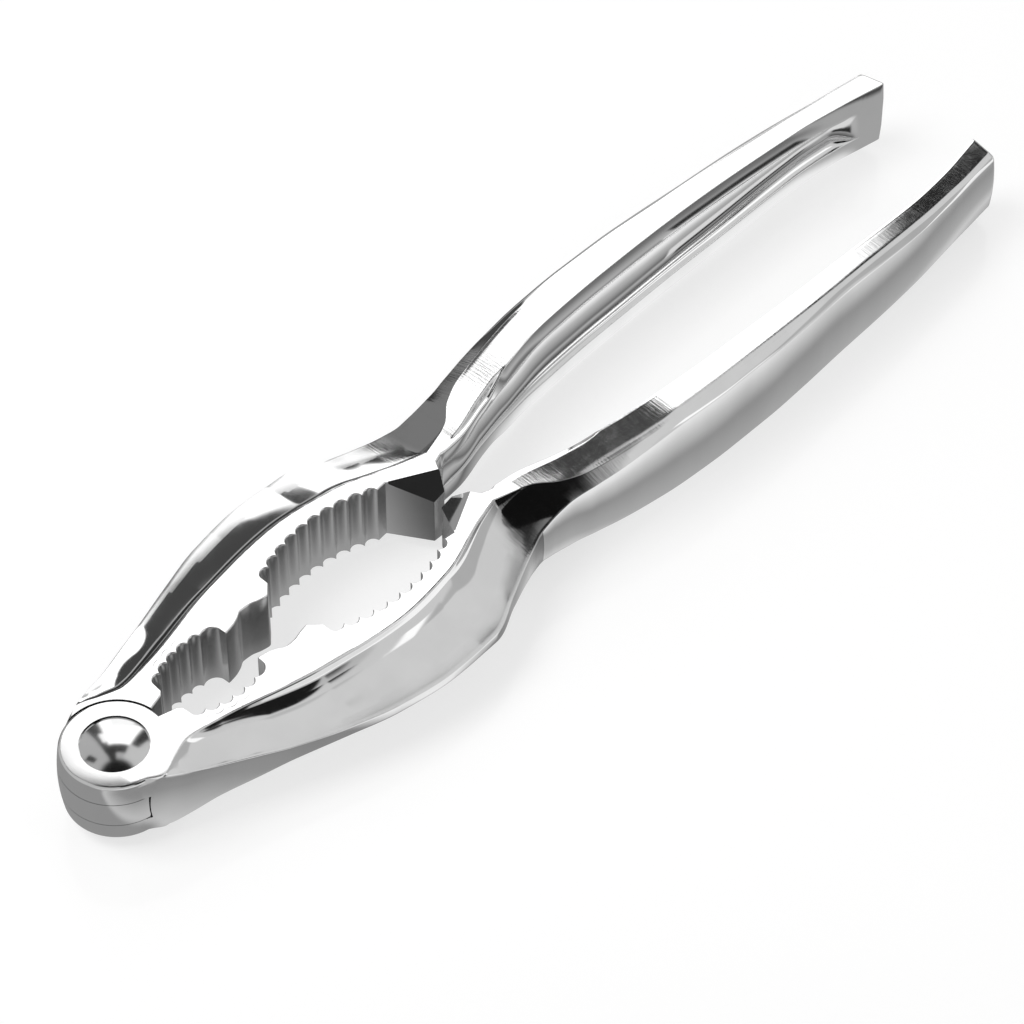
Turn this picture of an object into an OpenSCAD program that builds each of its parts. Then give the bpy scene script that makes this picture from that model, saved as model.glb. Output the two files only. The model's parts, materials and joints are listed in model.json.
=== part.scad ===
// Crab cracker: two cast levers on one rivet, with two toothed pockets between the jaws.
// Each lever is drawn with its pivot at the origin and the handle along +X.
// The tongue lever lies on the +Y side, and the fork lever is its mirror image.

/* [Levers] */
// Distance from the pivot to the ends of the handles
reach = 179.2; // [165:0.2:200]
// Distance from the pivot to the waist, where the jaw ends and the handle starts
waist_x = 70.5; // [69:0.5:74]
// Thickness of the jaws
jaw_thickness = 11.5; // [10:0.1:13]
// Greatest thickness of the handles
handle_thickness = 16.1; // [14:0.1:19]
// Half of the gap between the handles at its widest
handle_spread = 12.75; // [11.5:0.05:16]
// Half of the width across the jaws
jaw_half_width = 22.9; // [21:0.1:26]
// Half of the width across the outside of the waist
waist_half_width = 15; // [13.5:0.1:16]

/* [Knuckle] */
// Radius of the round ears and of the tongue between them, at its greatest
knuckle_radius = 8.5; // [8:0.1:8.9]
// How much smaller that radius is at the faces of the jaws
knuckle_crown = 0.5; // [0.1:0.1:0.8]
// Thickness of each ear of the fork
ear_thickness = 3.4; // [3:0.1:3.8]
// Play between the tongue and each ear
tongue_play = 0.1; // [0.05:0.01:0.2]
// Gap between a round knuckle and the hollow that is cut round it
relief_gap = 0.2; // [0.15:0.05:0.4]
// Rounding of the rim of each ear
ear_rounding = 0.5; // [0.3:0.1:0.8]

/* [Rivet] */
// Diameter of the rivet's shank
shank_diameter = 6; // [5:0.1:7]
// Radial play of the tongue on the shank
shank_play = 0.05; // [0.02:0.01:0.1]
// Diameter of the rivet's heads
head_diameter = 10; // [9:0.1:11]
// Depth of the seat of a head in its ear
seat_depth = 0.9; // [0.6:0.1:1.5]
// Play round a head in its seat
seat_play = 0.15; // [0.05:0.05:0.3]
// Height of a head's dome over the face of the ear
dome_height = 0.55; // [0.3:0.05:1.2]

/* [Pockets] */
// Distance from the pivot to the middle of the small pocket
small_pocket_x = 19.2; // [18.5:0.1:19.6]
// Half of the width of the small pocket, at the bottom of its teeth
small_pocket_half = 6.5; // [5.8:0.1:6.8]
// Radius of the arc that the teeth of the small pocket follow
small_pocket_arc = 16; // [14:0.5:20]
// Radius of one tooth gap of the small pocket
small_scallop = 1.2; // [1.15:0.01:1.3]
// Distance from the pivot to the middle of the large pocket
large_pocket_x = 48; // [47.6:0.1:48.4]
// Half of the width of the large pocket, at the bottom of its teeth
large_pocket_half = 10.3; // [9.5:0.1:10.6]
// Radius of the arc that the teeth of the large pocket follow
large_pocket_arc = 29.3; // [27:0.1:32]
// Radius of one tooth gap of the large pocket
large_scallop = 1.3; // [1.25:0.01:1.4]
// Half of the gap between the inner faces of the closed jaws
jaw_gap_half = 0.75; // [0.6:0.05:1]
// Length of the flat tip of each nose
nose_length = 2.2; // [1.6:0.1:3]
// Depth of the facet on the top of each nose
nose_facet = 2.3; // [1:0.1:3]

/* [Handles] */
// Height of each flange on the inner side of a handle
flange_height = 3.2; // [2.6:0.1:4]
// Depth of the hollow between the flanges
hollow_depth = 2; // [1:0.1:2.6]
// Length of solid metal at the end of a handle, past the hollow
end_wall = 4; // [3:0.5:8]
// Rounding of the edges at the end of a handle
end_rounding = 0.5; // [0.3:0.1:1.2]
// Depth of the back wall's upper edge below the top face of a handle
edge_drop = 1.2; // [0.8:0.1:1.6]
// Bulge of the back wall of a handle between its two edges
wall_bulge = 0.4; // [0.1:0.1:0.8]

/* [Hidden] */
$fn = 96;
jaw_half = jaw_thickness / 2;
handle_half = handle_thickness / 2;
hump = handle_half - jaw_half;
small_step = 8.5;
small_gaps = 5;
small_first = -26.7;
large_step = 5.02;
large_gaps = 10;
large_first = -22.5;
pocket_flare = 1.9;
cut_margin = 1;
edge_break = 0.35;
rim_half = 0.75;
tongue_half = jaw_half - ear_thickness - tongue_play;
relief_radius = knuckle_radius + relief_gap;
head_radius = head_diameter / 2;
shank_radius = shank_diameter / 2;
face_radius = knuckle_radius - knuckle_crown;
start_x = -3;
start_bulge = 0.3;
nose_x = waist_x - 4.7;
nose_end = nose_x + nose_length;
nose_back = nose_end + 2.2;
lip_start = waist_x + 1.3;
rim_join = waist_x + 5;
ramp_end = waist_x + 5.5;
ramp_slope = 0.16;
strip_start = waist_x + 14;
strip_end = waist_x + 20;
strip_top = 0.75;
strip_bottom = 0.3;
hollow_lip = 0.4;
end_skew = 0.1;
hollow_points = 4;
flank_points = 9;
wall_points = 3;
wedge_point = [10.7, 1.6];

// A smooth curve through knots [x, y] that never swings past a knot
function slope(k, i) = (k[i + 1][1] - k[i][1]) / (k[i + 1][0] - k[i][0]);
function knot_slope(k, i) =
    i == 0 ? slope(k, 0)
    : i == len(k) - 1 ? slope(k, i - 1)
    : slope(k, i - 1) * slope(k, i) <= 0 ? 0
    : 2 * slope(k, i - 1) * slope(k, i) / (slope(k, i - 1) + slope(k, i));
function segment(k, x, i = 0) = (i >= len(k) - 2 || x < k[i + 1][0]) ? i : segment(k, x, i + 1);
function hermite(a, b, ma, mb, w, t) =
    a * (2 * t * t * t - 3 * t * t + 1) + b * (3 * t * t - 2 * t * t * t)
    + w * (ma * (t * t * t - 2 * t * t + t) + mb * (t * t * t - t * t));
function clamp(v, lo, hi) = min(max(v, lo), hi);
function curve_in(k, x, i) =
    hermite(k[i][1], k[i + 1][1], knot_slope(k, i), knot_slope(k, i + 1),
        k[i + 1][0] - k[i][0], (x - k[i][0]) / (k[i + 1][0] - k[i][0]));
function curve(k, x) = curve_in(k, clamp(x, k[0][0], k[len(k) - 1][0]), segment(k, x));
function smooth(x, a, b) = let (t = clamp((x - a) / (b - a), 0, 1)) t * t * (3 - 2 * t);

// Share of the handle's length at x: 0 at the waist and 1 at the end
function along(x) = (x - waist_x) / (reach - waist_x);

// Height of a handle over the jaw's face
function hump_at(x) = hump * curve([[0.04, 0], [0.13, 0.37], [0.22, 0.78], [0.29, 1], [0.41, 1],
    [0.63, 0.83], [0.83, 0.35], [0.93, 0.2], [1, 0.2]], along(x));
function half_at(x) = jaw_half + hump_at(x);

// Inner edge of the top face of a handle
function inner_edge(x) = handle_spread - curve([[0, 6.75], [0.05, 6.35], [0.12, 4.35], [0.18, 2.85],
    [0.27, 1.25], [0.41, 0.35], [0.58, 0], [0.7, 0.15], [0.83, 0.5], [0.91, 1.35], [1, 3]], along(x));

// Width of the flat top face of a handle
function top_width(x) = curve([[0, 1.05], [0.054, 2.4], [0.087, 4.4], [0.13, 5.1], [0.24, 4.9],
    [0.36, 4.5], [0.59, 3.9], [0.86, 3.4], [1, 4.1]], along(x));

// Outer edge of the top face, along the jaw and then along the handle
function jaw_top_edge(x) = curve([[start_x, face_radius - 1.4], [-1.4, face_radius - 0.3],
    [1, face_radius + 1.1], [2.2, face_radius + 0.8], [4.5, 7.8], [8, 6.8], [13.5, 7.6], [30, 11.5],
    [45, 13.2], [55.5, 12], [waist_x - 4.2, 8.2], [waist_x, handle_spread - 5.7]], x);
function top_edge(x) = x < waist_x ? jaw_top_edge(x) : inner_edge(x) + top_width(x);

// Rim of the jaw, which runs on round the waist as the upper edge of the handle's back wall
function jaw_rim(x) = curve([[start_x, face_radius - 0.5], [-1.4, face_radius + 0.3],
    [1, face_radius + 1.25], [4.2, 10.6], [8.5, 12.1],
    [14.2, 14.3], [20, 16.5], [28, 19.3], [36, 21.6], [46, jaw_half_width], [55, jaw_half_width - 0.4],
    [waist_x - 8.5, waist_half_width + 4.4], [waist_x - 4.5, waist_half_width + 2.6],
    [waist_x - 0.5, waist_half_width + 1], [waist_x + 2.5, waist_half_width + 0.15],
    [rim_join, waist_half_width]], x);
function back_edge(x) = handle_spread + curve([[0.04, 2.25], [0.087, 2.6], [0.123, 3.15], [0.16, 3.8],
    [0.2, 4.3], [0.27, 4.9], [0.38, 5.45], [0.46, 5.45], [0.54, 5.15], [0.635, 4.6], [0.73, 4.3],
    [0.8, 3.9], [0.87, 3.1], [0.945, 2.1], [1, 1.5]], along(x));
function rim_at(x) = x <= rim_join ? jaw_rim(x)
    : waist_half_width + (back_edge(x) - waist_half_width) * smooth(x, rim_join, rim_join + 8);

// Half of the height of the rim: full at the knuckle, thin along the jaw, and rising through the waist
function rim_rise(x) = curve([[waist_x - 18.5, 0], [waist_x - 10.5, 0.12], [waist_x - 6.5, 0.26],
    [waist_x - 2.5, 0.43], [waist_x + 1.5, 0.67], [waist_x + 4.5, 0.88], [waist_x + 8, 1]], x);
function jaw_rim_height(x) = curve([[start_x, jaw_half - 0.9], [1, jaw_half - 0.3], [4.5, jaw_half - 1.2],
    [8.6, jaw_half - 2.3], [14.3, jaw_half - 3.3], [20, rim_half + 0.65], [28, rim_half + 0.15],
    [40, rim_half]], x);
function rim_height(x) = jaw_rim_height(x) + (half_at(x) - edge_drop - jaw_rim_height(x)) * rim_rise(x);

// Bow of the flank: below 0 is scooped out and above 0 is round
function bow(x) = lookup(x, [[start_x, -0.1], [10, -0.5], [30, -0.8], [ramp_end, -0.8],
    [ramp_end + 8.5, 0], [ramp_end + 22.5, 0.5]]);

// Depth of the ramp, which climbs from the scooped flank to the top of the handle, below the flank's chord
function ramp_dip(x) = ramp_slope * max(ramp_end - x, 0);

// Inner side: the nose, its back wall, and the strip along the foot of the handle's hump
function nose_wall(x) = lookup(x, [[start_x, jaw_gap_half], [nose_end, jaw_gap_half],
    [nose_back, 4.5], [lip_start, 5.1]]);
function strip_share(x) = 1 - smooth(x, strip_start, strip_end);
function foot(x) = inner_edge(x) - 0.3;
function lip(x, strip) = x < lip_start ? nose_wall(x) : foot(x) - 0.15 - strip * strip_share(x)
    * smooth(x, lip_start, lip_start + 0.1);
function hollow_edge(x) = x < lip_start ? nose_wall(x) : foot(x) - hollow_lip;
function hollow_at(x) = hollow_depth * curve([[0, 0], [0.02, 0.2], [0.18, 0.7], [0.3, 1], [0.9, 1],
    [1, 1]], along(x)) * (1 - smooth(x, reach - end_wall - 6, reach - end_wall));

// Half a ring of points [y, z] at x, from the inner side over the top to the crest of the back
function quad(a, b, c, t) = (1 - t) * (1 - t) * a + 2 * t * (1 - t) * b + t * t * c;
function half_ring(x, strip) =
    let (h = half_at(x), y_in = lip(x, strip), y_low = hollow_edge(x), y_foot = max(foot(x), y_in + 0.15))
    let (y_edge = max(inner_edge(x), y_foot + 0.15), y_top = top_edge(x), y_rim = rim_at(x))
    let (z_rim = rim_height(x), z_low = h - flange_height, drop = hump_at(x) * strip_share(x))
    let (jaw = x < nose_end + 0.01, fall = (h - z_rim) / max(y_rim - y_top, 0.1), k = bow(x))
    let (bulge = wall_bulge * rim_rise(x) + start_bulge * (1 - smooth(x, 0, 10)))
    concat(
        [for (i = [0 : hollow_points]) let (a = 90 * i / hollow_points)
            [y_low + hollow_at(x) * cos(a), max(z_low, 1) * sin(a)]],
        [[y_in, h - edge_break - drop]],
        [[jaw ? y_in + 0.15 : y_foot, h - 0.08 - drop]],
        [[jaw ? y_in + 0.4 : y_edge, h]],
        [[y_top - 0.1, h]],
        [for (i = [0 : flank_points])
            let (t = i / flank_points, y = quad(y_top, y_top + (0.5 + 0.5 * k) * (y_rim - y_top), y_rim, t))
            [y, max(quad(h - 0.05, h - (0.6 - 0.25 * k) * (h - z_rim), z_rim, t),
                    h - 0.05 - (y - y_top) * fall - ramp_dip(x))]],
        [for (i = [1 : wall_points]) let (t = i / wall_points)
            [y_rim + bulge * (1 - (1 - t) * (1 - t)), z_rim * (1 - t)]]);

// A full ring of points [x, y, z], with the lower half as a mirror image and a narrower strip
function shrink(p, c, e) = [c[0] + (p[0] - c[0]) * (1 - e / 3), p[1] * (1 - e / handle_half)];
function ring(x, inset) =
    let (up = half_ring(x, strip_top), down = half_ring(x, strip_bottom), n = len(up))
    let (c = [(inner_edge(x) + rim_at(x)) / 2, 0], y_end = inner_edge(reach))
    [for (p = concat(up, [for (i = [n - 2 : -1 : 1]) [down[i][0], -down[i][1]]]))
        let (q = inset > 0 ? shrink(p, c, inset) : p)
        [x - end_skew * max(q[0] - y_end, 0) * smooth(x, reach - 8, reach), q[0], q[1]]];

// Stations along the lever, with the rounded end of the handle as the last three
function spread(a, b, n) = [for (i = [0 : n - 1]) a + (b - a) * i / n];
stations = concat(
    spread(start_x, 10, 8),
    spread(10, nose_end, 22),
    [nose_end, (nose_end + nose_back) / 2, nose_back, waist_x],
    [lip_start, lip_start + 0.15, lip_start + 1.7],
    spread(waist_x + 4.5, strip_end + 2, 10),
    spread(strip_end + 2, reach - end_rounding, 30),
    [reach - end_rounding, reach - end_rounding * 0.3, reach]);
insets = [for (x = stations) x < reach - end_rounding * 0.9 ? 0
    : x < reach ? 0.3 * end_rounding : end_rounding];

module lever_body() {
    rings = [for (i = [0 : len(stations) - 1]) ring(stations[i], insets[i])];
    n = len(rings[0]);
    m = len(rings);
    // The two ends are closed by fans round a point in the middle of the end ring
    start_middle = [start_x, face_radius / 2, 0];
    end_width = rim_at(reach) - inner_edge(reach);
    end_middle = [reach - end_skew * end_width / 2, inner_edge(reach) + end_width / 2, 0];
    points = concat([for (r = rings) for (p = r) p], [start_middle, end_middle]);
    sides = [for (j = [0 : m - 2]) for (i = [0 : n - 1]) let (k = (i + 1) % n)
        each [[j * n + i, j * n + k, (j + 1) * n + k], [j * n + i, (j + 1) * n + k, (j + 1) * n + i]]];
    start_cap = [for (i = [0 : n - 1]) [m * n, (i + 1) % n, i]];
    end_cap = [for (i = [0 : n - 1]) [m * n + 1, (m - 1) * n + i, (m - 1) * n + (i + 1) % n]];
    polyhedron(points = points, faces = concat(sides, start_cap, end_cap), convexity = 6);
}

// Middle of a tooth gap on the arc of a pocket
function on_arc(cx, top, arc, gap, a) = [cx + (arc - gap) * sin(a), top - arc + (arc - gap) * cos(a)];
small_centres = [for (i = [0 : small_gaps - 1])
    on_arc(small_pocket_x, small_pocket_half, small_pocket_arc, small_scallop, small_first + small_step * i)];
flare_centre = on_arc(small_pocket_x, small_pocket_half, small_pocket_arc, pocket_flare,
    small_first + small_step * small_gaps + 1);
large_centres = [for (i = [0 : large_gaps - 1])
    on_arc(large_pocket_x, large_pocket_half, large_pocket_arc, large_scallop, large_first + large_step * i)];

// The bump between the pockets, from its foot by the small pocket to the step into the large one
bump_start = flare_centre[0] + 2.2;
bump_end = large_centres[0][0] - 2.1;
bump_knots = [[0, 3.3], [0.14, 3.55], [0.29, 4.1], [0.42, 4.75], [0.57, 4.7], [0.76, 4.2],
    [0.9, 4.0], [1, 4.8]];
bump_points = 18;
bump = [for (i = [0 : bump_points]) let (t = i / bump_points)
    [bump_start + (bump_end - bump_start) * t, curve(bump_knots, t)]];

// Outline of the pockets on the +Y side, through the middles of the tooth gaps
pocket_outline = concat(
    [[face_radius - 0.8, -cut_margin], [face_radius - 0.4, jaw_gap_half], wedge_point],
    small_centres,
    [flare_centre, [flare_centre[0] + 1.75, flare_centre[1] - 0.7]],
    bump,
    large_centres,
    [[nose_x - 3.9, large_centres[large_gaps - 1][1] + 0.3],
     [nose_x + 0.9, 0.3 - cut_margin], [nose_x + 0.9, -cut_margin]]);

module pockets() {
    height = jaw_thickness + 2 * cut_margin;
    translate([0, 0, -height / 2]) {
        linear_extrude(height) polygon(pocket_outline);
        for (c = small_centres) translate(c) cylinder(r = small_scallop, h = height);
        translate(flare_centre) cylinder(r = pocket_flare, h = height);
        for (c = large_centres) translate(c) cylinder(r = large_scallop, h = height);
    }
}

// Sloping facet on the top of the nose, from the pocket's end to the nose's back wall
module nose_facet_cut() {
    facet_turn = -27.8;
    facet_run = 3.4;
    tool = [8.5, 12, 8];
    translate([nose_x - 3.5, large_centres[large_gaps - 1][1] + 0.2, jaw_half])
        rotate([0, 0, facet_turn])
        rotate([atan(nose_facet / facet_run), 0, 0])
        translate([0, -tool[1], 0])
        cube(tool);
}

// One lever without its knuckle
module lever() {
    difference() {
        lever_body();
        pockets();
        nose_facet_cut();
    }
}

// Radius of a crowned knuckle at a height over its middle
function crowned(z) = knuckle_radius - knuckle_crown * pow(z / jaw_half, 2);

// A round knuckle as high as the jaw, crowned and with rounded rims
module knuckle() {
    rounding_steps = 3;
    side_end = jaw_half - ear_rounding;
    side_points = [for (z = [0, side_end * 0.3, side_end * 0.7]) [crowned(z), z]];
    rim = [for (i = [0 : rounding_steps]) let (a = 90 * i / rounding_steps)
        [crowned(side_end) - ear_rounding * (1 - cos(a)), side_end + ear_rounding * sin(a)]];
    upper = concat(side_points, rim, [[0, jaw_half]]);
    lower = [for (i = [len(upper) - 1 : -1 : 1]) [upper[i][0], -upper[i][1]]];
    rotate_extrude() polygon(concat(lower, upper));
}

// Seats for the two heads of the rivet
module head_seats() {
    for (side = [0, 1]) mirror([0, 0, side]) translate([0, 0, jaw_half - seat_depth])
        cylinder(r = head_radius + seat_play, h = seat_depth + cut_margin);
}

// Hollows in the tongue lever round the two ears of the fork, as crowned as they are
module ear_relief() {
    for (side = [0, 1]) mirror([0, 0, side]) translate([0, 0, tongue_half])
        cylinder(r1 = crowned(tongue_half) + relief_gap, r2 = crowned(jaw_half + cut_margin) + relief_gap,
            h = jaw_half + cut_margin - tongue_half);
}

module bore(radius) {
    cylinder(r = radius, h = jaw_thickness + 2 * cut_margin, center = true);
}

module fork() {
    difference() {
        union() {
            mirror([0, 1, 0]) lever();
            knuckle();
        }
        cylinder(r = relief_radius, h = 2 * (tongue_half + tongue_play), center = true);
        head_seats();
        bore(shank_radius);
    }
}

module tongue() {
    difference() {
        union() {
            lever();
            knuckle();
        }
        ear_relief();
        bore(shank_radius + shank_play);
    }
}

module rivet() {
    dome_steps = 6;
    dome_edge = 0.25;
    head = concat(
        [[0, 0], [shank_radius, 0], [shank_radius, jaw_half - seat_depth],
         [head_radius, jaw_half - seat_depth], [head_radius, jaw_half - dome_edge]],
        [for (i = [1 : dome_steps]) let (t = i / dome_steps, lift = 1 - (1 - t) * (1 - t))
            [head_radius * (1 - t), jaw_half - dome_edge + (dome_height + dome_edge) * lift]]);
    rotate_extrude() polygon(head);
    mirror([0, 0, 1]) rotate_extrude() polygon(head);
}

// The origin lies under the middle of the tool, on the surface that it rests on
module seated() {
    translate([-(reach - knuckle_radius) / 2, 0, handle_half]) children();
}

module fork_arm() {
    color("silver") seated() fork();
}

module tongue_arm() {
    color("gainsboro") seated() tongue();
}

module pivot_rivet() {
    color("dimgray") seated() rivet();
}

fork_arm();
tongue_arm();
pivot_rivet();
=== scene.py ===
import json
import math

import bpy
import numpy as np
from mathutils import Matrix, Vector


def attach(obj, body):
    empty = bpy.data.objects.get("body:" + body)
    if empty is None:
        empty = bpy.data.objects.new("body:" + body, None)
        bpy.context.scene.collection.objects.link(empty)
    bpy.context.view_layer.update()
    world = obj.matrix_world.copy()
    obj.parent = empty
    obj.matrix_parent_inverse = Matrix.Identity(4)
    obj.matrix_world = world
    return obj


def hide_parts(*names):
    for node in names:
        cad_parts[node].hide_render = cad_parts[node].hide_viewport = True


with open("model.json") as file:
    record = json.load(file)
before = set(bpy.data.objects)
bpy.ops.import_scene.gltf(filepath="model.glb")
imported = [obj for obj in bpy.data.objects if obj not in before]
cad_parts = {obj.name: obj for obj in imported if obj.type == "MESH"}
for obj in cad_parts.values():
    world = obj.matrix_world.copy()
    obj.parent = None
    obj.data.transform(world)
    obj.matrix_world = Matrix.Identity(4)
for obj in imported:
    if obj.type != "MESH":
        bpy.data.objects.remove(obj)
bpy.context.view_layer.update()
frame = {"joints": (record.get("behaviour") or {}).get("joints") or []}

# Sizes of the tool in millimetres, as in the CAD model
MM = 0.001
REACH = 179.2
WAIST_X = 70.5
JAW_HALF = 5.75
HANDLE_HALF = 8.05
HUMP = HANDLE_HALF - JAW_HALF
HANDLE_SPREAD = 12.75
JAW_HALF_WIDTH = 22.89
WAIST_HALF_WIDTH = 15.0
KNUCKLE_R = 8.5
KNUCKLE_CROWN = 0.5
FACE_R = KNUCKLE_R - KNUCKLE_CROWN
TONGUE_HALF = 2.25
TONGUE_PLAY = 0.1
RELIEF_GAP = 0.2
EAR_ROUNDING = 0.5
SHANK_R = 3.0
SHANK_PLAY = 0.05
HEAD_R = 5.0
SEAT_DEPTH = 0.9
SEAT_PLAY = 0.15
DOME_HEIGHT = 0.55
JAW_GAP_HALF = 0.75
NOSE_LENGTH = 2.2
NOSE_FACET = 2.3
FLANGE_HEIGHT = 3.2
HOLLOW_DEPTH = 2.0
END_WALL = 4.0
END_ROUNDING = 0.5
END_SKEW = 0.1
EDGE_DROP = 1.2
WALL_BULGE = 0.4
RAMP_SLOPE = 0.16
RIM_HALF = 0.75
START_X = -3.0
START_BULGE = 0.3
NOSE_X = WAIST_X - 4.7
STRIP = 0.75
UNDERSIDE_STRIP = 0.3
HOLLOW_INSET = 0.7
LIP_INSET = 0.45
FOOT_INSET = 0.3
CROWN_FROM = 0.75
FLANGE_CORNER = 0.4
LIP_CORNER = 0.35
FOOT_CORNER = 0.25
EDGE_CORNER = 0.3
TOP_CORNER = 0.4
RIM_CORNER = 0.3
FACET_RUN = 3.4
FACET_TURN = -27.8
FACET_START = NOSE_X - 3.5
PIVOT = Vector(frame["joints"][0]["pos_m"])


# The camera of the photograph, in millimetres from the pivot at the height of the jaw's top face
CAMERA_FROM_PIVOT = Vector((-249.67, -315.43, 499.84))
LOOK = Vector((0.48005, 0.45675, -0.74896))
LENS_MM = 158.2
SENSOR_MM = 36.0


def add_camera():
    """A camera at the photograph's viewing angle."""
    data = bpy.data.cameras.new("photo_camera")
    data.lens = LENS_MM
    data.sensor_width = SENSOR_MM
    camera = bpy.data.objects.new("photo_camera", data)
    bpy.context.scene.collection.objects.link(camera)
    camera.location = PIVOT + (CAMERA_FROM_PIVOT + Vector((0, 0, JAW_HALF))) * MM
    camera.rotation_euler = LOOK.to_track_quat("-Z", "Y").to_euler()
    bpy.context.scene.camera = camera


add_camera()


# Smooth curves through knots
def curve(knots, x):
    """A smooth curve through knots (x, y) that never swings past a knot."""
    kx = np.array([k[0] for k in knots], float)
    ky = np.array([k[1] for k in knots], float)
    step = np.diff(kx)
    slopes = np.diff(ky) / step
    tangents = np.zeros(len(kx))
    tangents[0], tangents[-1] = slopes[0], slopes[-1]
    a, b = slopes[:-1], slopes[1:]
    same = a * b > 0
    tangents[1:-1][same] = 2 * a[same] * b[same] / (a[same] + b[same])
    x = np.clip(x, kx[0], kx[-1])
    i = np.clip(np.searchsorted(kx, x, side="right") - 1, 0, len(kx) - 2)
    t = (x - kx[i]) / step[i]
    rise = 3 * t**2 - 2 * t**3
    bend = tangents[i] * (t**3 - 2 * t**2 + t) + tangents[i + 1] * (t**3 - t**2)
    return ky[i] * (1 - rise) + ky[i + 1] * rise + step[i] * bend


def smooth(x, a, b):
    t = np.clip((x - a) / (b - a), 0, 1)
    return t * t * (3 - 2 * t)


def lookup(x, knots):
    return np.interp(x, [k[0] for k in knots], [k[1] for k in knots])


def along(x):
    return (x - WAIST_X) / (REACH - WAIST_X)


# The lever's lengthwise curves
def hump_at(x):
    knots = [(0.04, 0), (0.13, 0.37), (0.22, 0.78), (0.29, 1), (0.41, 1), (0.63, 0.83), (0.83, 0.35),
             (0.93, 0.2), (1, 0.2)]
    return HUMP * curve(knots, along(x))


def inner_edge(x):
    knots = [(0, 6.75), (0.05, 6.35), (0.12, 4.35), (0.18, 2.85), (0.27, 1.25), (0.41, 0.35), (0.58, 0),
             (0.7, 0.15), (0.83, 0.5), (0.91, 1.35), (1, 3)]
    return HANDLE_SPREAD - curve(knots, along(x))


def top_width(x):
    knots = [(0, 1.05), (0.054, 2.4), (0.087, 4.4), (0.13, 5.1), (0.24, 4.9), (0.36, 4.5), (0.59, 3.9),
             (0.86, 3.4), (1, 4.1)]
    return curve(knots, along(x))


def top_edge(x):
    knots = [(START_X, FACE_R - 1.4), (-1.4, FACE_R - 0.3), (1, FACE_R + 1.1), (2.2, FACE_R + 0.8), (4.5, 7.8),
             (8, 6.8), (13.5, 7.6), (30, 11.5), (45, 13.2), (55.5, 12), (WAIST_X - 4.2, 8.2),
             (WAIST_X, HANDLE_SPREAD - 5.7)]
    return np.where(x < WAIST_X, curve(knots, x), inner_edge(x) + top_width(x))


def rim_at(x):
    """The rim of the jaw, which runs on round the waist as the upper edge of the handle's back wall."""
    knots = [(START_X, FACE_R - 0.5), (-1.4, FACE_R + 0.3), (1, FACE_R + 1.25), (4.2, 10.6), (8.5, 12.1),
             (14.2, 14.3), (20, 16.5), (28, 19.3), (36, 21.6), (46, JAW_HALF_WIDTH), (55, JAW_HALF_WIDTH - 0.4),
             (WAIST_X - 8.5, WAIST_HALF_WIDTH + 4.4),
             (WAIST_X - 4.5, WAIST_HALF_WIDTH + 2.6), (WAIST_X - 0.5, WAIST_HALF_WIDTH + 1),
             (WAIST_X + 2.5, WAIST_HALF_WIDTH + 0.15), (WAIST_X + 5, WAIST_HALF_WIDTH)]
    back = [(0.04, 2.25), (0.087, 2.6), (0.123, 3.15), (0.16, 3.8), (0.2, 4.3), (0.27, 4.9), (0.38, 5.45),
            (0.46, 5.45), (0.54, 5.15), (0.635, 4.6), (0.73, 4.3), (0.8, 3.9), (0.87, 3.1), (0.945, 2.1), (1, 1.5)]
    handle = HANDLE_SPREAD + curve(back, along(x))
    handle = WAIST_HALF_WIDTH + (handle - WAIST_HALF_WIDTH) * smooth(x, WAIST_X + 5, WAIST_X + 13)
    return np.where(x <= WAIST_X + 5, curve(knots, x), handle)


def rim_rise(x):
    knots = [(WAIST_X - 18.5, 0), (WAIST_X - 10.5, 0.12), (WAIST_X - 6.5, 0.26), (WAIST_X - 2.5, 0.43),
             (WAIST_X + 1.5, 0.67), (WAIST_X + 4.5, 0.88), (WAIST_X + 8, 1)]
    return curve(knots, x)


def rim_height(x):
    """Half of the height of the rim: full at the knuckle, thin along the jaw, and rising through the waist."""
    knots = [(START_X, JAW_HALF - 0.9), (1, JAW_HALF - 0.3), (4.5, JAW_HALF - 1.2), (8.6, JAW_HALF - 2.3),
             (14.3, JAW_HALF - 3.3), (20, RIM_HALF + 0.65), (28, RIM_HALF + 0.15), (40, RIM_HALF)]
    low = curve(knots, x)
    return low + (JAW_HALF + hump_at(x) - EDGE_DROP - low) * rim_rise(x)


def bow(x):
    """Bow of the flank: below 0 is scooped out and above 0 is round."""
    return lookup(x, [(START_X, -0.1), (10, -0.5), (30, -0.8), (WAIST_X + 5.5, -0.8), (WAIST_X + 14, 0),
                      (WAIST_X + 28, 0.5)])


def ramp_dip(x):
    """Depth of the ramp, which climbs from the scooped flank to the top of the handle, below the chord."""
    return RAMP_SLOPE * np.maximum(WAIST_X + 5.5 - x, 0)


def tilt(x):
    """Outward slope of a handle's top face."""
    return 0.05 * smooth(x, WAIST_X + 4, WAIST_X + 14) + 0.05 * smooth(x, REACH - 31, REACH - 15)


def crown(x):
    """How far the outer quarter of a handle's top face rolls off."""
    return 0.16 * smooth(x, WAIST_X + 8, WAIST_X + 20)


# The toothed pockets
SMALL_POCKET = {"x": 19.2, "half": 6.5, "arc": 16.0, "gap": 1.2, "first": -26.7, "step": 8.5, "count": 5}
LARGE_POCKET = {"x": 48.0, "half": 10.3, "arc": 29.3, "gap": 1.3, "first": -22.5, "step": 5.02, "count": 10}
FLARE_R = 1.9
BUMP_KNOTS = [(0, 3.3), (0.14, 3.55), (0.29, 4.1), (0.42, 4.75), (0.57, 4.7), (0.76, 4.2), (0.9, 4.0), (1, 4.8)]


def on_arc(pocket, gap, angle):
    a = math.radians(angle)
    r = pocket["arc"] - gap
    return pocket["x"] + r * math.sin(a), pocket["half"] - pocket["arc"] + r * math.cos(a)


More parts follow.
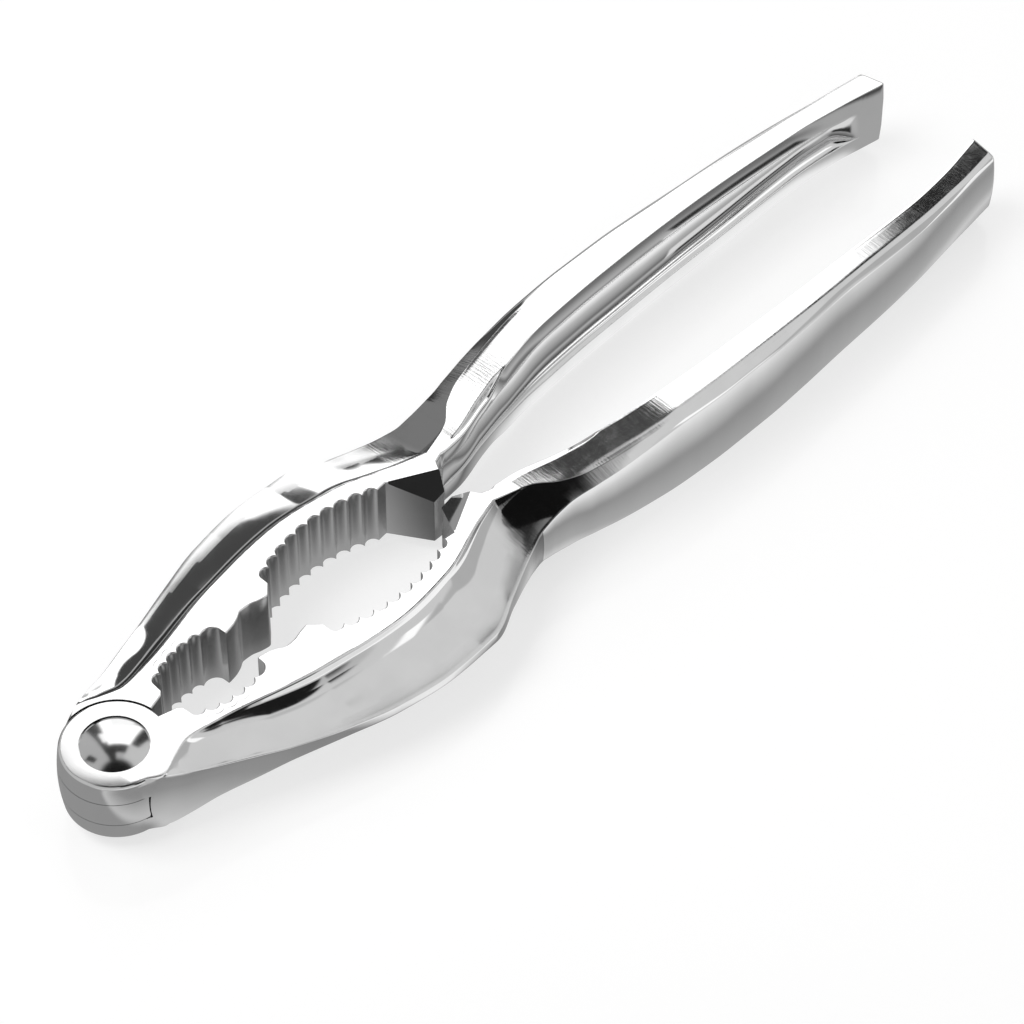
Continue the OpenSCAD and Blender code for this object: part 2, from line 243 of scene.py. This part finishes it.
def tooth_gaps(pocket):
    return [(*on_arc(pocket, pocket["gap"], pocket["first"] + pocket["step"] * i), pocket["gap"])
            for i in range(pocket["count"])]


def pocket_wall(x):
    """Distance of the pocket's wall from the middle plane at x, along the jaw."""
    small, large = tooth_gaps(SMALL_POCKET), tooth_gaps(LARGE_POCKET)
    flare_angle = SMALL_POCKET["first"] + SMALL_POCKET["step"] * SMALL_POCKET["count"] + 1
    flare = (*on_arc(SMALL_POCKET, FLARE_R, flare_angle), FLARE_R)
    bump_start, bump_end = flare[0] + 2.2, large[0][0] - 2.1
    t = np.linspace(0, 1, 40)
    bump = list(zip(bump_start + (bump_end - bump_start) * t, curve(BUMP_KNOTS, t)))
    outline = [(FACE_R - 0.4, JAW_GAP_HALF), (10.7, 1.6)] + [c[:2] for c in small]
    outline += [flare[:2], (flare[0] + 1.75, flare[1] - 0.7)] + bump + [c[:2] for c in large]
    outline += [(NOSE_X - 3.9, large[-1][1] + 0.3), (NOSE_X, JAW_GAP_HALF)]
    wall = lookup(x, outline)
    for cx, cy, r in small + [flare] + large:
        inside = r * r - (x - cx) ** 2
        wall = np.where(inside > 0, np.maximum(wall, cy + np.sqrt(np.maximum(inside, 0))), wall)
    return wall


def inner_wall(x):
    """The inner side of a lever at the height of its top edge's foot: pocket, nose, and the nose's back."""
    nose = lookup(x, [(NOSE_X, JAW_GAP_HALF), (NOSE_X + NOSE_LENGTH, JAW_GAP_HALF),
                      (NOSE_X + NOSE_LENGTH + 2.2, 4.5), (WAIST_X + 1.3, 5.1)])
    return np.where(x < NOSE_X, pocket_wall(x), nose)


def strip_share(x):
    return 1 - smooth(x, WAIST_X + 14, WAIST_X + 20)


# Stations along the lever: close together where the inner wall turns
def stations():
    fine = np.arange(START_X, WAIST_X + 4, 0.01)
    wall = inner_wall(fine)
    tips = [i for i in range(1, len(fine) - 1) if wall[i] < wall[i - 1] and wall[i] <= wall[i + 1]]
    chosen, last = [0], 0
    for i in range(1, len(fine)):
        run = fine[i] - fine[last]
        length = math.hypot(run, wall[i] - wall[last])
        if i in tips or length > 0.26 or run > 0.5:
            chosen.append(i)
            last = i
    handle = np.concatenate([np.arange(fine[chosen[-1]] + 0.4, WAIST_X + 24, 0.4),
                             np.arange(WAIST_X + 24, REACH - END_ROUNDING - 0.4, 0.9)])
    end = REACH - END_ROUNDING * (1 - np.sin(np.radians([0, 18, 36, 54, 72, 90])))
    return np.concatenate([fine[chosen], handle, end])


# A half ring of points (y, z) from the inner side over the top to the rim
CORNER_STEPS = 4
HOLLOW_STEPS = 8
FLANK_STEPS = 24
TOP_STEPS = 12
WALL_STEPS = 6


def corner(before, at, after, radius):
    """A rounded corner as a quadratic curve, no longer than half of either side."""
    before, at, after = (np.array(p, float) for p in (before, at, after))
    to_before, to_after = before - at, after - at
    lb, la = np.linalg.norm(to_before), np.linalg.norm(to_after)
    r = min(radius, 0.45 * lb, 0.45 * la)
    start, stop = at + to_before / max(lb, 1e-9) * r, at + to_after / max(la, 1e-9) * r
    out = []
    for i in range(CORNER_STEPS + 1):
        t = i / CORNER_STEPS
        out.append((1 - t) ** 2 * start + 2 * t * (1 - t) * at + t * t * stop)
    return out


def half_ring(x, s, side):
    """Points of one half, at station values s. The strip is narrower on the underside, where side is -1."""
    h, top, rim = s["half"], s["top"], s["rim"]
    z_rim, y_in, k = s["rim_height"], s["wall"], s["bow"]
    strip = STRIP if side > 0 else UNDERSIDE_STRIP
    drop = s["hump"] * s["strip_share"]
    z_low = h - FLANGE_HEIGHT
    if x < WAIST_X + 1.3:
        y_low, lip = y_in, y_in
    else:
        ease = smooth(x, WAIST_X + 1.3, WAIST_X + 2.2)
        y_low = y_in + (s["inner"] - HOLLOW_INSET - y_in) * ease
        lip = y_in + (s["inner"] - LIP_INSET - strip * s["strip_share"] - y_in) * ease
    foot = max(s["inner"] - FOOT_INSET, lip + 0.2) if x >= NOSE_X + NOSE_LENGTH else lip + 0.5
    edge = max(s["inner"], foot + 0.2) if x >= NOSE_X + NOSE_LENGTH else lip + 0.9
    foot, edge = min(foot, top - 0.6), min(edge, top - 0.4)
    points = []
    for i in range(HOLLOW_STEPS):
        a = math.pi / 2 * i / HOLLOW_STEPS
        points.append(np.array((y_low + s["hollow"] * math.cos(a), z_low * math.sin(a))))
    flange, lip_at, foot_at = (y_low, z_low), (lip, h - drop), (foot, h - drop)
    low = h - s["tilt"] * (top - edge)
    crown_at = edge + CROWN_FROM * (top - edge)
    edge_at, top_at = (edge, h), (top, low - s["crown"])
    h = low - s["crown"]
    flank = []
    fall = (h - z_rim) / max(rim - top, 0.1)
    for i in range(FLANK_STEPS + 1):
        t = i / FLANK_STEPS
        w = [(1 - t) ** 2, 2 * t * (1 - t), t * t]
        y = np.dot(w, [top, top + (0.5 + 0.5 * k) * (rim - top), rim])
        z = np.dot(w, [h, h - (0.6 - 0.25 * k) * (h - z_rim), z_rim])
        flank.append(np.array((y, max(z, h - (y - top) * fall - s["dip"]))))
    points += corner(points[-1], flange, lip_at, FLANGE_CORNER)
    points += corner(flange, lip_at, foot_at, LIP_CORNER)
    points += corner(lip_at, foot_at, edge_at, FOOT_CORNER)
    points += corner(foot_at, edge_at, top_at, EDGE_CORNER)
    for i in range(1, TOP_STEPS):
        y = edge + (top - edge) * i / TOP_STEPS
        roll = max(y - crown_at, 0) / (top - crown_at)
        points.append(np.array((y, edge_at[1] - s["tilt"] * (y - edge) - s["crown"] * roll**2)))
    points += corner(edge_at, top_at, flank[2], TOP_CORNER)
    points += flank[2:-1]
    wall = [np.array((rim + s["bulge"] * (1 - t * t), z_rim * t)) for t in np.linspace(1, 0, WALL_STEPS + 1)]
    points += corner(flank[-2], flank[-1], wall[1], RIM_CORNER)
    return points + wall[2:]


def ring_table():
    """All rings as an array of stations by points by (x, y, z), in millimetres from the pivot."""
    xs = stations()
    values = {"half": JAW_HALF + hump_at(xs), "hump": hump_at(xs), "inner": inner_edge(xs), "top": top_edge(xs),
              "rim": rim_at(xs), "rim_height": rim_height(xs), "bow": bow(xs), "wall": inner_wall(xs),
              "strip_share": strip_share(xs), "dip": ramp_dip(xs), "tilt": tilt(xs), "crown": crown(xs),
              "bulge": WALL_BULGE * rim_rise(xs) + START_BULGE * (1 - smooth(xs, 0, 10))}
    depth = HOLLOW_DEPTH * curve([(0, 0), (0.02, 0.2), (0.18, 0.7), (0.3, 1), (0.9, 1), (1, 1)], along(xs))
    values["hollow"] = depth * (1 - smooth(xs, REACH - END_WALL - 6, REACH - END_WALL))
    rings = []
    for i, x in enumerate(xs):
        s = {name: float(v[i]) for name, v in values.items()}
        up = half_ring(x, s, 1)
        down = half_ring(x, s, -1)
        loop = up + [p * (1, -1) for p in reversed(down[1:-1])]
        rings.append([(x, p[0], p[1]) for p in loop])
    rings = np.array(rings)
    past = np.clip((xs - (REACH - END_ROUNDING)) / END_ROUNDING, 0, 1)
    inset = END_ROUNDING * (1 - np.sqrt(1 - past**2))
    middle = rings[:, :, 1:].mean(1, keepdims=True)
    size = np.abs(rings[:, :, 1:] - middle).max(1, keepdims=True)
    rings[:, :, 1:] = middle + (rings[:, :, 1:] - middle) * (1 - inset[:, None, None] / size)
    outward = np.maximum(rings[:, :, 1] - inner_edge(REACH), 0)
    rings[:, :, 0] -= END_SKEW * outward * smooth(xs, REACH - 8, REACH)[:, None]
    return rings


# Blender helpers
def clear_selection():
    for o in bpy.context.selected_objects:
        o.select_set(False)


def make_active(obj):
    clear_selection()
    obj.select_set(True)
    bpy.context.view_layer.objects.active = obj


def apply_modifier(obj, kind, **settings):
    make_active(obj)
    modifier = obj.modifiers.new(kind.lower(), kind)
    for name, value in settings.items():
        setattr(modifier, name, value)
    bpy.ops.object.modifier_apply(modifier=modifier.name)


def combine(obj, operation, tool):
    """Joins or cuts obj with a tool, which is then removed."""
    apply_modifier(obj, "BOOLEAN", operation=operation, object=tool, solver="EXACT")
    bpy.data.objects.remove(tool)


def at_pivot(obj):
    """Puts a piece drawn round the pivot in millimetres into its place in the frame."""
    obj.data.transform(Matrix.Translation(PIVOT) @ Matrix.Scale(MM, 4))
    obj.matrix_world = Matrix.Identity(4)


def primitive_cylinder(radius, low, high, vertices=192):
    clear_selection()
    bpy.ops.mesh.primitive_cylinder_add(vertices=vertices, radius=radius, depth=high - low,
                                        location=(0, 0, (low + high) / 2))
    obj = bpy.context.object
    bpy.ops.object.transform_apply(location=True, rotation=True, scale=True)
    return obj


def turned(profile, segments=192):
    """A solid turned from a profile of (radius, height) points, from its upper pole to its lower one."""
    clear_selection()
    bpy.ops.mesh.primitive_uv_sphere_add(segments=segments, ring_count=len(profile) - 1, radius=1)
    obj = bpy.context.object
    for v in obj.data.vertices:
        flat = math.hypot(v.co.x, v.co.y)
        radius, height = profile[round(math.atan2(flat, v.co.z) / math.pi * (len(profile) - 1))]
        scale = radius / flat if radius else 0
        v.co = Vector((v.co.x * scale, v.co.y * scale, height))
    make_active(obj)
    bpy.ops.object.mode_set(mode="EDIT")
    bpy.ops.mesh.select_all(action="SELECT")
    bpy.ops.mesh.normals_make_consistent(inside=False)
    bpy.ops.object.mode_set(mode="OBJECT")
    return obj


def both_ways(upper):
    """A profile from the points of its upper half, from the pole to the middle."""
    return upper + [(r, -z) for r, z in reversed(upper)]


def crowned(z):
    return KNUCKLE_R - KNUCKLE_CROWN * (z / JAW_HALF) ** 2


def knuckle():
    """A round knuckle as high as the jaw, crowned and with rounded rims."""
    side_end = JAW_HALF - EAR_ROUNDING
    rim = [(crowned(side_end) - EAR_ROUNDING * (1 - math.cos(a)), side_end + EAR_ROUNDING * math.sin(a))
           for a in np.radians(np.linspace(90, 0, 9))]
    side = [(crowned(z), z) for z in np.linspace(side_end, 0.3, 9)[1:]]
    return turned(both_ways([(0, JAW_HALF)] + rim + side))


def lever(name, side):
    """A sheet rolled round the lever's sections and closed at both ends, on the side of its sign."""
    rings = ring_table()
    count, around = rings.shape[:2]
    clear_selection()
    bpy.ops.mesh.primitive_grid_add(x_subdivisions=count - 1, y_subdivisions=around, size=2)
    obj = bpy.context.object
    obj.name = name
    order = sorted(range(len(obj.data.vertices)), key=lambda i: (round(obj.data.vertices[i].co.x, 5),
                                                               round(obj.data.vertices[i].co.y, 5)))
    places = np.zeros((len(order), 3))
    rolled = np.concatenate([rings, rings[:, :1]], axis=1).reshape(-1, 3)
    places[order] = rolled * (1, side, 1)
    obj.data.vertices.foreach_set("co", places.ravel())
    obj.data.update()
    make_active(obj)
    bpy.ops.object.mode_set(mode="EDIT")
    bpy.ops.mesh.select_all(action="SELECT")
    bpy.ops.mesh.remove_doubles(threshold=0.0005)
    bpy.ops.mesh.select_all(action="DESELECT")
    bpy.ops.mesh.select_non_manifold()
    bpy.ops.mesh.fill_holes(sides=0)
    bpy.ops.mesh.select_all(action="SELECT")
    bpy.ops.mesh.normals_make_consistent(inside=False)
    bpy.ops.object.mode_set(mode="OBJECT")
    return obj


def cut_nose_facet(obj, side):
    """The sloping facet on the top of the nose."""
    large = tooth_gaps(LARGE_POCKET)
    clear_selection()
    bpy.ops.mesh.primitive_cube_add(size=1)
    tool = bpy.context.object
    tool.data.transform(Matrix.Translation((4.25, -6, 4)) @ Matrix.Diagonal((8.5, 12, 8, 1)))
    lean = Matrix.Rotation(math.atan(NOSE_FACET / FACET_RUN), 4, "X")
    turn = Matrix.Rotation(math.radians(FACET_TURN), 4, "Z")
    place = Matrix.Translation((FACET_START, large[-1][1] + 0.2, JAW_HALF))
    tool.data.transform(Matrix.Diagonal((1, side, 1, 1)) @ place @ turn @ lean)
    if side < 0:
        tool.data.flip_normals()
    combine(obj, "DIFFERENCE", tool)


def shade(obj, angle=30):
    make_active(obj)
    bpy.ops.object.shade_smooth_by_angle(angle=math.radians(angle))


def finish_piece(obj, body, node):
    shade(obj)
    at_pivot(obj)
    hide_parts(node)
    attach(obj, body)


def fork_lever():
    obj = lever("fork_lever", -1)
    cut_nose_facet(obj, -1)
    combine(obj, "UNION", knuckle())
    slot_half = TONGUE_HALF + TONGUE_PLAY
    combine(obj, "DIFFERENCE", primitive_cylinder(KNUCKLE_R + RELIEF_GAP, -slot_half, slot_half))
    for side in (1, -1):
        low, high = sorted((side * (JAW_HALF - SEAT_DEPTH), side * (JAW_HALF + 1)))
        combine(obj, "DIFFERENCE", primitive_cylinder(HEAD_R + SEAT_PLAY, low, high))
    combine(obj, "DIFFERENCE", primitive_cylinder(SHANK_R, -JAW_HALF - 2, JAW_HALF + 2, 96))
    return obj


def tongue_lever():
    obj = lever("tongue_lever", 1)
    cut_nose_facet(obj, 1)
    combine(obj, "UNION", knuckle())
    top = JAW_HALF + 1
    wide, narrow = crowned(TONGUE_HALF) + RELIEF_GAP, crowned(top) + RELIEF_GAP
    for side in (1, -1):
        relief = [(0, side * top), (narrow, side * top), (wide, side * TONGUE_HALF), (0, side * TONGUE_HALF)]
        combine(obj, "DIFFERENCE", turned(relief))
    combine(obj, "DIFFERENCE", primitive_cylinder(SHANK_R + SHANK_PLAY, -JAW_HALF - 2, JAW_HALF + 2, 96))
    return obj


def rivet():
    """The rivet: a shank between two low domed heads."""
    base, edge = JAW_HALF - SEAT_DEPTH, JAW_HALF - 0.25
    dome = [(HEAD_R * t, edge + (DOME_HEIGHT + 0.25) * (1 - t * t)) for t in np.linspace(0, 1, 25)]
    side = [(HEAD_R, edge - 0.12), (HEAD_R, base), (SHANK_R, base), (SHANK_R, base * 0.3)]
    obj = turned(both_ways([(0, dome[0][1])] + dome[1:] + side))
    obj.name = "rivet"
    return obj


# Materials
class Socket:
    """A shader value that can be used in Python expressions."""

    def __init__(self, tree, link):
        self.tree, self.link = tree, link

    def math(self, operation, *others):
        node = self.tree.node("ShaderNodeMath", {"operation": operation}, self, *others)
        return Socket(self.tree, node.outputs[0])

    def __add__(self, other):
        return self.math("ADD", other)

    def __sub__(self, other):
        return self.math("SUBTRACT", other)

    def __mul__(self, other):
        return self.math("MULTIPLY", other)

    __radd__, __rmul__ = __add__, __mul__

    def __rsub__(self, other):
        return (self * -1) + other


class Shader:
    """A material's or the world's node tree."""

    def __init__(self, owner):
        owner.use_nodes = True
        self.nodes, self.links = owner.node_tree.nodes, owner.node_tree.links
        self.nodes.clear()

    def put(self, socket, value):
        if isinstance(value, Socket):
            value = value.link
        if isinstance(value, bpy.types.NodeSocket):
            self.links.new(value, socket)
        else:
            socket.default_value = value

    def node(self, kind, settings=None, *inputs, **named):
        node = self.nodes.new(kind)
        for name, value in (settings or {}).items():
            if name == "stops":
                ramp = node.color_ramp
                while len(ramp.elements) < len(value):
                    ramp.elements.new(0.5)
                for element, (position, level) in zip(ramp.elements, value):
                    element.position = position
                    element.color = (level, level, level, 1)
            else:
                setattr(node, name, value)
        for i, value in enumerate(inputs):
            self.put(node.inputs[i], value)
        for name, value in named.items():
            self.put(node.inputs[name.replace("_", " ")], value)
        return node

    def out(self, kind, output, settings=None, *inputs, **named):
        return Socket(self, self.node(kind, settings, *inputs, **named).outputs[output])

    def mapped(self, scale):
        """Object coordinates in metres, stretched by scale."""
        place = self.out("ShaderNodeTexCoord", "Object")
        return self.out("ShaderNodeMapping", "Vector", None, Vector=place, Scale=scale)

    def noise(self, scale, detail=2.0, roughness=0.5):
        return self.out("ShaderNodeTexNoise", "Fac", None, Vector=self.mapped(scale), Scale=1.0,
                        Detail=detail, Roughness=roughness)

    def ramp(self, value, low, high, a=0.0, b=1.0):
        return self.out("ShaderNodeMapRange", "Result", {"interpolation_type": "SMOOTHSTEP"}, value, low, high, a, b)

    def stepped(self, value, knots):
        """A level that runs straight from knot to knot (x, level)."""
        low, high = knots[0][0], knots[-1][0]
        stops = [((x - low) / (high - low), level) for x, level in knots]
        place = self.out("ShaderNodeMapRange", "Result", None, value, low, high, 0.0, 1.0)
        colour = self.out("ShaderNodeValToRGB", "Color", {"stops": stops}, place)
        return Socket(self, self.node("ShaderNodeSeparateColor", None, colour).outputs[0])


def grey(shader, level):
    return shader.out("ShaderNodeCombineColor", "Color", None, level, level, level)


def metal(name, colour, roughness, brush=(0, 0, 0), brush_depth=0.0, wave=0.00002, painted_reflection_level=None):
    """Plated metal: faint cast waves, fine scratches and a soft variation of the polish, and, where a level is
    given, a painted dark reflection in a band across the waist.
    """
    material = bpy.data.materials.new(name)
    s = Shader(material)
    blotches = s.noise((90, 90, 90), 3)
    fine = s.noise((900, 900, 900), 2)
    low, high = roughness
    rough = s.ramp(blotches * 0.7 + fine * 0.3, 0.35, 0.65, low, high)
    tone_and_painted_reflection = s.ramp(s.noise((140, 140, 60), 3), 0.3, 0.7, colour * 0.95, colour)
    # Painted reflection: the base colour is darkened in a band from just before the waist to well past it, standing
    # in for a dark reflection.
    if painted_reflection_level:
        place = s.node("ShaderNodeSeparateXYZ", None, s.out("ShaderNodeTexCoord", "Object"))
        x = Socket(s, place.outputs[0]) * 1000 - PIVOT.x * 1000
        inside = s.ramp(x, WAIST_X - 3, WAIST_X + 1) * s.ramp(x, WAIST_X + 18, WAIST_X + 9)
        tone_and_painted_reflection = tone_and_painted_reflection * (1 - inside) + inside * painted_reflection_level
    waves = s.noise((110, 110, 110), 1)
    bump = s.node("ShaderNodeBump", None, Height=waves, Distance=wave, Strength=1.0)
    normal = bump.outputs["Normal"]
    if brush_depth:
        marks = s.noise(brush, 3, 0.6)
        lined = s.node("ShaderNodeBump", None, Height=marks, Distance=brush_depth, Strength=1.0, Normal=normal)
        normal = lined.outputs["Normal"]
    surface = s.node("ShaderNodeBsdfPrincipled", None, Metallic=1.0, Roughness=rough, Normal=normal)
    s.put(surface.inputs["Base Color"], grey(s, tone_and_painted_reflection))
    s.node("ShaderNodeOutputMaterial", None, Surface=surface.outputs[0])
    return material


def paint(obj, *materials):
    obj.data.materials.clear()
    for material in materials:
        obj.data.materials.append(material)


def sort_faces(obj):
    """Gives each face of a lever its material: polished, brushed top, satin wall, back wall, ramp with its painted
    dark reflection, or jaw face.
    """
    faces = obj.data.polygons
    centre, normal = np.zeros(len(faces) * 3), np.zeros(len(faces) * 3)
    faces.foreach_get("center", centre)
    faces.foreach_get("normal", normal)
    x, y, _ = centre.reshape(-1, 3).T
    up = abs(normal.reshape(-1, 3)[:, 2])
    outside = abs(y) > top_edge(x)
    kinds = [((up < 0.5) & ((np.hypot(x, y) < KNUCKLE_R + 0.3) | (outside & (x > WAIST_X + 2))), 3),
             ((up < 0.5) & (x < WAIST_X - 2) & ~outside, 2),
             ((x > WAIST_X + 3) & (up > 0.85) & ~outside, 1),
             ((x > WAIST_X - 4) & (x < WAIST_X + 20) & outside, 4),
             ((x < WAIST_X + 3) & (up > 0.98), 5)]
    faces.foreach_set("material_index", np.select([k[0] for k in kinds], [k[1] for k in kinds], 0))


# Floor, world and lamps
def patchwork(s, across, along, base, patches):
    """A level made of soft-edged patches: from and to across, from and to along, softness, level."""
    level = base
    for a0, a1, b0, b1, soft, value in patches:
        inside = s.ramp(along, b0 - soft / 2, b0 + soft / 2) * s.ramp(along, b1 + soft / 2, b1 - soft / 2)
        inside = inside * s.ramp(across, a0 - soft / 2, a0 + soft / 2)
        inside = inside * s.ramp(across, a1 + soft / 2, a1 - soft / 2)
        level = level * (1 - inside) + inside * value
    return level


# What the metal sees of the floor is painted light and shade, a glow shown only to mirror rays: its level at
# distances along Y in millimetres, by the jaws and by the handles
BY_JAWS = [(-40, 0.8), (-28, 0.9), (-26, 0.25), (-20, 0.3), (-11, 0.6), (-8, 0.5), (-6, 0.04), (0, 0.12),
           (7, 0.35), (14, 0.35)]
BY_HANDLES = [(-60, 1.0), (-35, 0.9), (-27, 0.5), (-24, 0.3), (-18, 0.43), (-16, 0.65), (-12, 0.05), (-3, 0.2),
              (2, 0.46), (4, 0.15), (8, 0.5), (10, 0.9), (12, 0.95), (16, 0.4)]


# Painted light and dark fields of the floor's mirror glow, in millimetres, by the left handle's hollow, under its
# end, beyond the
# left jaw and by the knuckle: from and to along X, from and to along Y, softness, level
NEAR_PATCHES = [
    (54, 92, 2.6, 6, 1, 0.75),
    (57, 86, -0.4, 2.3, 1.4, 0.03),
    (89, 115, -9, 14, 4, 0.38),
    (-100, 60, 40, 130, 12, 0.03),
    (-200, -86, -11, 40, 3, 0.3),
]


# The white that the camera sees of the floor, and how much of it glows rather than takes the shadows
FLOOR_WHITE = 1.13
FLOOR_GLOW_SHARE = 0.6


def add_floor():
    clear_selection()
    bpy.ops.mesh.primitive_plane_add(size=6, location=(0, 0, -0.0002))
    floor = bpy.context.object
    floor.name = "floor"
    material = bpy.data.materials.new("white_floor")
    s = Shader(material)
    light = s.node("ShaderNodeLightPath")
    seen = Socket(s, light.outputs["Is Camera Ray"])
    mirrored = Socket(s, light.outputs["Is Glossy Ray"])
    gloss = s.node("ShaderNodeBsdfPrincipled", None, Base_Color=(0.93, 0.93, 0.93, 1), Roughness=0.12)
    white = s.node("ShaderNodeEmission", None, Color=(1, 1, 1, 1), Strength=FLOOR_WHITE)
    pale = s.node("ShaderNodeMixShader", None, seen * FLOOR_GLOW_SHARE, gloss.outputs[0], white.outputs[0])
    place = s.node("ShaderNodeSeparateXYZ", None, s.out("ShaderNodeTexCoord", "Object"))
    x, y = (Socket(s, place.outputs[i]) * 1000 for i in range(2))
    share = s.ramp(x, -22, -8)
    level = s.stepped(y, BY_JAWS) * (1 - share) + s.stepped(y, BY_HANDLES) * share
    level = patchwork(s, x, y, level, NEAR_PATCHES)
    # Mirror rays see a glow of painted light and shade, set by place on the floor, in place of the floor's own
    # shading.
    painted_mirror_glow = s.node("ShaderNodeEmission", None, Color=grey(s, level), Strength=1.0)
    mix = s.node("ShaderNodeMixShader", None, mirrored, pale.outputs[0], painted_mirror_glow.outputs[0])
    s.node("ShaderNodeOutputMaterial", None, Surface=mix.outputs[0])
    paint(floor, material)


# The studio round the tool, in degrees: from and to in azimuth, from and to in elevation, softness, level
SKY_LEVEL = 0.5
SKY_PATCHES = [
    (-66, 31, 40, 72, 5, 0.65),
    (-200, 200, 73, 95, 6, 0.012),
    (-74, -47, -5, 48, 3, 0.62),
    (-62, -50, 28, 46, 4, 1.1),
    (-47, -20, -5, 40, 4, 0.45),
    (-100, -78, 5, 30, 2, 0.01),
    (-100, -75, 28, 47, 2, 0.01),
    (-125, -80, 48, 72, 4, 0.02),
    (28.5, 52, 26, 54, 3, 1.6),
    (36, 52, 14, 30, 3, 1.2),
    (52, 60.8, -5, 54, 1.5, 1.5),
    (17, 28.5, 28, 53, 2, 0.02),
    (60.8, 71, -5, 63, 1.5, 0.06),
    (60.5, 65.5, 36.5, 50, 2, 1.3),
    (71, 95, -5, 25, 3, 0.3),
    (71, 95, 25, 70, 3, 0.5),
    (30, 66, 55, 65, 2.5, 0.05),
    (50, 70, 60, 76, 3, 0.04),
    (90, 100, 53, 63, 2, 0.03),
]


def add_world():
    world = bpy.data.worlds.new("studio")
    bpy.context.scene.world = world
    s = Shader(world)
    light = s.node("ShaderNodeLightPath")
    seen = Socket(s, light.outputs["Is Camera Ray"])
    direction = s.node("ShaderNodeSeparateXYZ", None, s.out("ShaderNodeTexCoord", "Generated"))
    x, y, z = (Socket(s, direction.outputs[i]) for i in range(3))
    azimuth = y.math("ARCTAN2", x) * math.degrees(1)
    elevation = z.math("ARCSINE") * math.degrees(1)
    sky = patchwork(s, azimuth, elevation, SKY_LEVEL, SKY_PATCHES)
    level = sky * (1 - seen) + seen
    background = s.node("ShaderNodeBackground", None, Color=grey(s, level), Strength=1.0)
    s.node("ShaderNodeOutputWorld", None, Surface=background.outputs[0])


def add_lamp(name, place, size, power):
    data = bpy.data.lights.new(name, "AREA")
    data.shape = "RECTANGLE"
    data.size, data.size_y = size
    data.energy = power
    lamp = bpy.data.objects.new(name, data)
    bpy.context.scene.collection.objects.link(lamp)
    lamp.location = place
    lamp.rotation_euler = (-Vector(place)).to_track_quat("-Z", "Y").to_euler()
    lamp.visible_glossy = False


# Put it all together
polished = metal("polished_plating", 0.92, (0.05, 0.09))
brushed = metal("brushed_top", 0.92, (0.08, 0.14), brush=(3500, 200, 200), brush_depth=0.000012)
satin = metal("satin_wall", 0.88, (0.16, 0.26))
back = metal("back_wall", 0.9, (0.1, 0.14))
# The ramp's base colour carries a painted dark reflection at level 0.35 across the waist.
ramp = metal("brushed_ramp_painted_reflection", 0.92, (0.08, 0.14), brush=(3500, 300, 300), brush_depth=0.000008, painted_reflection_level=0.35)
jaw_face = metal("jaw_face", 0.95, (0.15, 0.19))
levers = {"fork_lever": (fork_lever(), "fork_arm"), "tongue_lever": (tongue_lever(), "tongue_arm")}
for body, (piece, node) in levers.items():
    paint(piece, polished, brushed, satin, back, ramp, jaw_face)
    sort_faces(piece)
    finish_piece(piece, body, node)
head = rivet()
paint(head, metal("mirror_rivet", 0.8, (0.1, 0.13)))
finish_piece(head, "fork_lever", "pivot_rivet")

add_floor()
add_world()
add_lamp("key_light", (-0.45, 0.35, 0.95), (0.6, 0.6), 6)

bpy.context.scene.view_settings.view_transform = "Standard"
